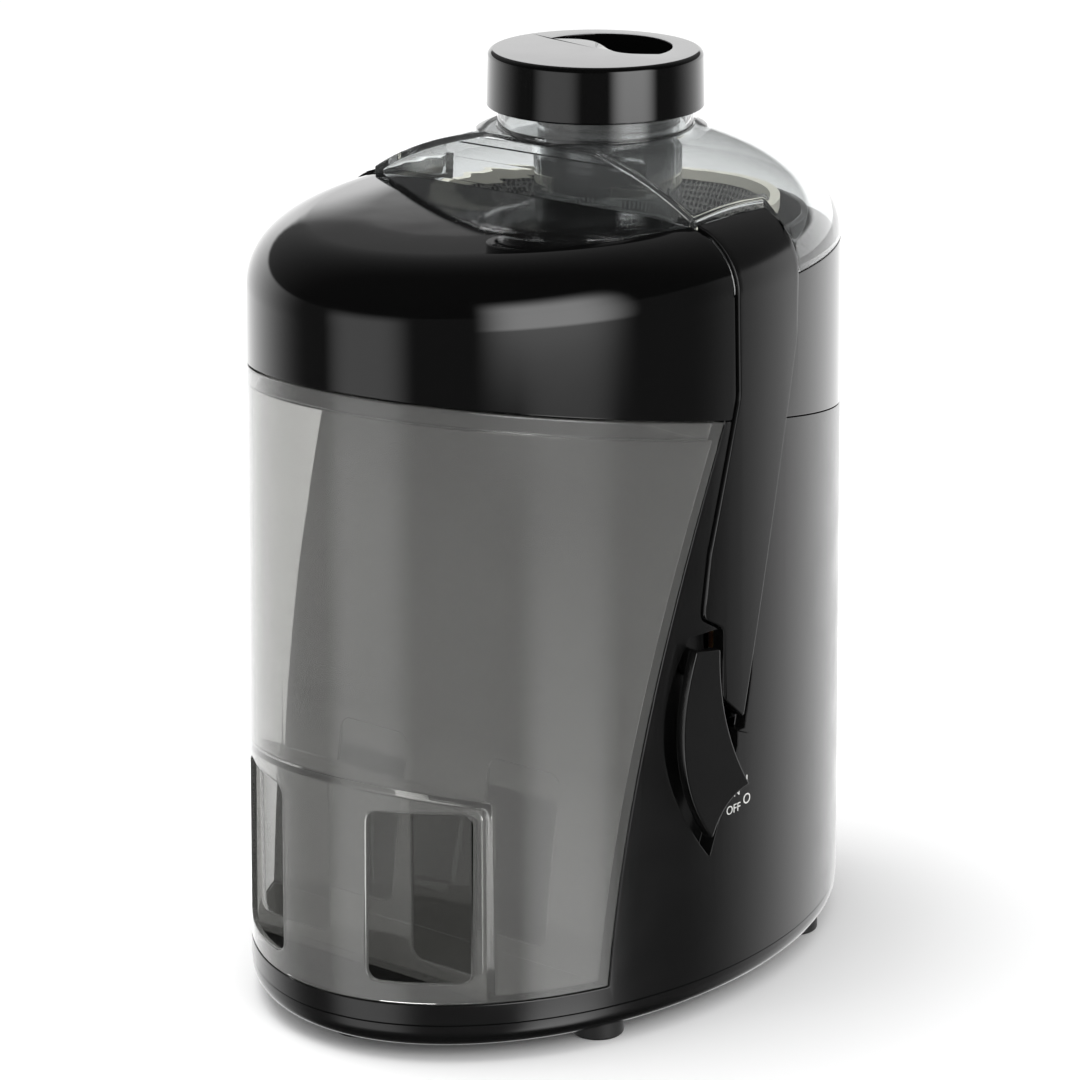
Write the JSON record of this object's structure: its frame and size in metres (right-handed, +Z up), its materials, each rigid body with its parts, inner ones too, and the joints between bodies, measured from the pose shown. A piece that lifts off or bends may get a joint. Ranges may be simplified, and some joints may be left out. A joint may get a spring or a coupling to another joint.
{
  "type": "centrifugal juicer",
  "caption": "Oval upright centrifugal juicer with a clear lid and feed chute, gloss black hood and motor housing, clear pulp container and side latches.",
  "frame": {"origin": "on the surface it stands on, under the middle of the whole outline, spout and lever included", "axes": "+X towards the power lever, -Y towards the pulp container, +Z up"},
  "size_m": [0.207, 0.265, 0.3318],
  "materials": {
    "black_abs": "satin moulded",
    "gloss_black": "high gloss",
    "satin_black": "satin moulded",
    "clear_plastic": "clear moulded",
    "smoke_clear_plastic": "lightly smoked, clear",
    "rubber": "matt",
    "zinc_steel": "zinc plated",
    "motor_iron": "varnished laminations",
    "copper": null,
    "brass": "sintered or drawn",
    "carbon": null,
    "switch_plastic": "moulded",
    "white_nylon": "moulded nylon",
    "stainless": "perforated and stamped"
  },
  "bodies": {
    "housing": {"motor_housing": "black_abs", "bottom_cover": "satin_black", "foot_front": "rubber", "foot_front_right": "rubber", "foot_front_left": "rubber", "foot_rear_right": "rubber", "foot_rear_left": "rubber", "cover_screws": "zinc_steel", "cord_gland": "rubber", "stator_core": "motor_iron", "field_coils": "copper", "upper_bracket": "zinc_steel", "lower_bracket": "zinc_steel", "motor_bolts": "zinc_steel", "upper_bearing": "brass", "lower_bearing": "brass", "brush_holders": "brass", "carbon_brushes": "carbon", "suppressor_capacitor": "switch_plastic", "shaft_seal": "rubber", "filter_bowl": "gloss_black", "latch_pin_right": "zinc_steel", "latch_pin_left": "zinc_steel", "power_switch": "switch_plastic", "switch_clip": "zinc_steel", "interlock_switch": "switch_plastic"},
    "rotor": {"motor_shaft": "zinc_steel", "armature_core": "motor_iron", "armature_winding": "copper", "commutator": "copper", "cooling_fan": "white_nylon", "drive_coupling": "white_nylon", "basket_base": "white_nylon", "basket_mesh": "stainless", "basket_rim": "white_nylon", "grater_disc": "stainless"},
    "lid": {"lid": "clear_plastic"},
    "pusher": {"pusher": "gloss_black"},
    "pulp_container": {"pulp_container": "smoke_clear_plastic"},
    "latch_right": {"latch_right": "satin_black"},
    "latch_left": {"latch_left": "satin_black"},
    "power_lever": {"power_lever": "satin_black"}
  },
  "joints": [
    {"name": "rotor_spin", "type": "hinge", "parent": "housing", "child": "rotor", "pos_m": [0.00694, 0.03, 0.20961], "axis": [0, 0, 1], "continuous": true},
    {"name": "latch_right_swing", "type": "hinge", "parent": "housing", "child": "latch_right", "pos_m": [0.09132, -0.0115, 0.123], "axis": [0, 1, 0], "range_deg": [0, 60]},
    {"name": "latch_left_swing", "type": "hinge", "parent": "housing", "child": "latch_left", "pos_m": [-0.07744, -0.0115, 0.123], "axis": [0, 1, 0], "range_deg": [-60, 0]},
    {"name": "lid_lift", "type": "slide", "parent": "housing", "child": "lid", "axis": [0, 0, 1], "range_m": [0, 0.06]},
    {"name": "pusher_lift", "type": "slide", "parent": "lid", "child": "pusher", "axis": [0, 0, 1], "range_m": [0, 0.11]},
    {"name": "container_slide", "type": "slide", "parent": "housing", "child": "pulp_container", "axis": [0, -1, 0], "range_m": [0, 0.15]},
    {"name": "lever_turn", "type": "hinge", "parent": "housing", "child": "power_lever", "pos_m": [0.09589, -0.03096, 0.1335], "axis": [0.9932, -0.1167, 0], "range_deg": [-10, 0]}
  ],
  "couplings": [
    {"joint": "latch_left_swing", "follows": "latch_right_swing", "ratio": -1},
    {"joint": "lid_lift", "follows": "latch_right_swing", "m_per_rad": 0.055}
  ]
}
